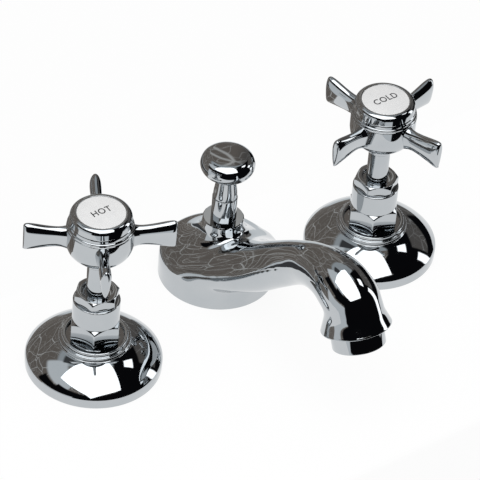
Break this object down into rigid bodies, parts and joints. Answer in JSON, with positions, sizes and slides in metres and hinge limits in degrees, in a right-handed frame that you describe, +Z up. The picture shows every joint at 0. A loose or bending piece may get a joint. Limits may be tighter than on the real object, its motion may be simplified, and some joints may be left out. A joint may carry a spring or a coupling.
{
  "type": "bidet mixer tap",
  "caption": "Deck-mounted mixer with cross-head side valves, a low spout with a tilting nozzle, a pop-up lift knob and the plumbing that joins them under the deck.",
  "frame": {"origin": "the spout's own axis, which is also the lift rod's, at the level of the deck", "axes": "+Z up out of the deck, spout pointing along -Y, hot valve on the -X side"},
  "size_m": [0.2042, 0.1338, 0.181],
  "materials": {
    "chrome": "polished",
    "brass": "satin",
    "copper": "satin",
    "steel": "satin",
    "rubber": "matte",
    "packing": "matte",
    "index_white": "gloss",
    "white_plastic": "satin"
  },
  "bodies": {
    "deck_assembly": {"hot_flange": "chrome", "hot_flange_seal": "rubber", "hot_valve_body": "brass", "hot_inlet_tail": "brass", "hot_deck_washer": "rubber", "hot_backnut": "brass", "hot_bonnet": "chrome", "hot_gland_packing": "packing", "hot_gland_nut": "chrome", "hot_mixing_tube": "copper", "hot_valve_union_nut": "brass", "hot_valve_olive": "brass", "hot_tee_union_nut": "brass", "hot_tee_olive": "brass", "cold_flange": "chrome", "cold_flange_seal": "rubber", "cold_valve_body": "brass", "cold_inlet_tail": "brass", "cold_deck_washer": "rubber", "cold_backnut": "brass", "cold_bonnet": "chrome", "cold_gland_packing": "packing", "cold_gland_nut": "chrome", "cold_mixing_tube": "copper", "cold_valve_union_nut": "brass", "cold_valve_olive": "brass", "cold_tee_union_nut": "brass", "cold_tee_olive": "brass", "spout_body": "chrome", "spout_seal": "rubber", "spout_tail": "brass", "spout_washer": "rubber", "spout_backnut": "brass", "spout_tee": "brass", "rod_guide_tube": "brass", "lift_rod_bush": "chrome", "lift_rod_seal": "rubber", "nozzle_retainer": "brass", "nozzle_seal": "rubber"},
    "hot_jumper_unit": {"hot_jumper": "brass", "hot_tap_washer": "rubber", "hot_washer_nut": "brass"},
    "hot_handle_unit": {"hot_spindle": "chrome", "hot_cross_handle": "chrome", "hot_handle_screw": "steel", "hot_index_cap": "chrome", "hot_index_disc": "index_white"},
    "cold_jumper_unit": {"cold_jumper": "brass", "cold_tap_washer": "rubber", "cold_washer_nut": "brass"},
    "cold_handle_unit": {"cold_spindle": "chrome", "cold_cross_handle": "chrome", "cold_handle_screw": "steel", "cold_index_cap": "chrome", "cold_index_disc": "index_white"},
    "lift_rod_unit": {"lift_rod": "steel", "lift_knob": "chrome"},
    "nozzle_unit": {"nozzle": "chrome", "flow_straightener": "white_plastic"}
  },
  "joints": [
    {"name": "hot_valve_rise", "type": "slide", "parent": "deck_assembly", "child": "hot_jumper_unit", "axis": [0, 0, 1], "range_m": [0, 0.00826]},
    {"name": "hot_handle_turn", "type": "hinge", "parent": "hot_jumper_unit", "child": "hot_handle_unit", "pos_m": [-0.078, -0.02, 0.07], "axis": [0, 0, 1], "range_deg": [0, 1170]},
    {"name": "cold_valve_rise", "type": "slide", "parent": "deck_assembly", "child": "cold_jumper_unit", "axis": [0, 0, 1], "range_m": [0, 0.00826]},
    {"name": "cold_handle_turn", "type": "hinge", "parent": "cold_jumper_unit", "child": "cold_handle_unit", "pos_m": [0.066, -0.02, 0.07], "axis": [0, 0, 1], "range_deg": [0, 1170]},
    {"name": "lift_rod_pull", "type": "slide", "parent": "deck_assembly", "child": "lift_rod_unit", "axis": [0, 0, 1], "range_m": [0, 0.02]},
    {"name": "nozzle_tilt", "type": "hinge", "parent": "deck_assembly", "child": "nozzle_unit", "pos_m": [0, -0.09275, 0.04776], "axis": [1, 0, 0], "range_deg": [-10, 10]}
  ],
  "couplings": [
    {"joint": "hot_handle_turn", "follows": "hot_valve_rise", "rad_per_m": 2473.7},
    {"joint": "cold_handle_turn", "follows": "cold_valve_rise", "rad_per_m": 2473.7}
  ]
}
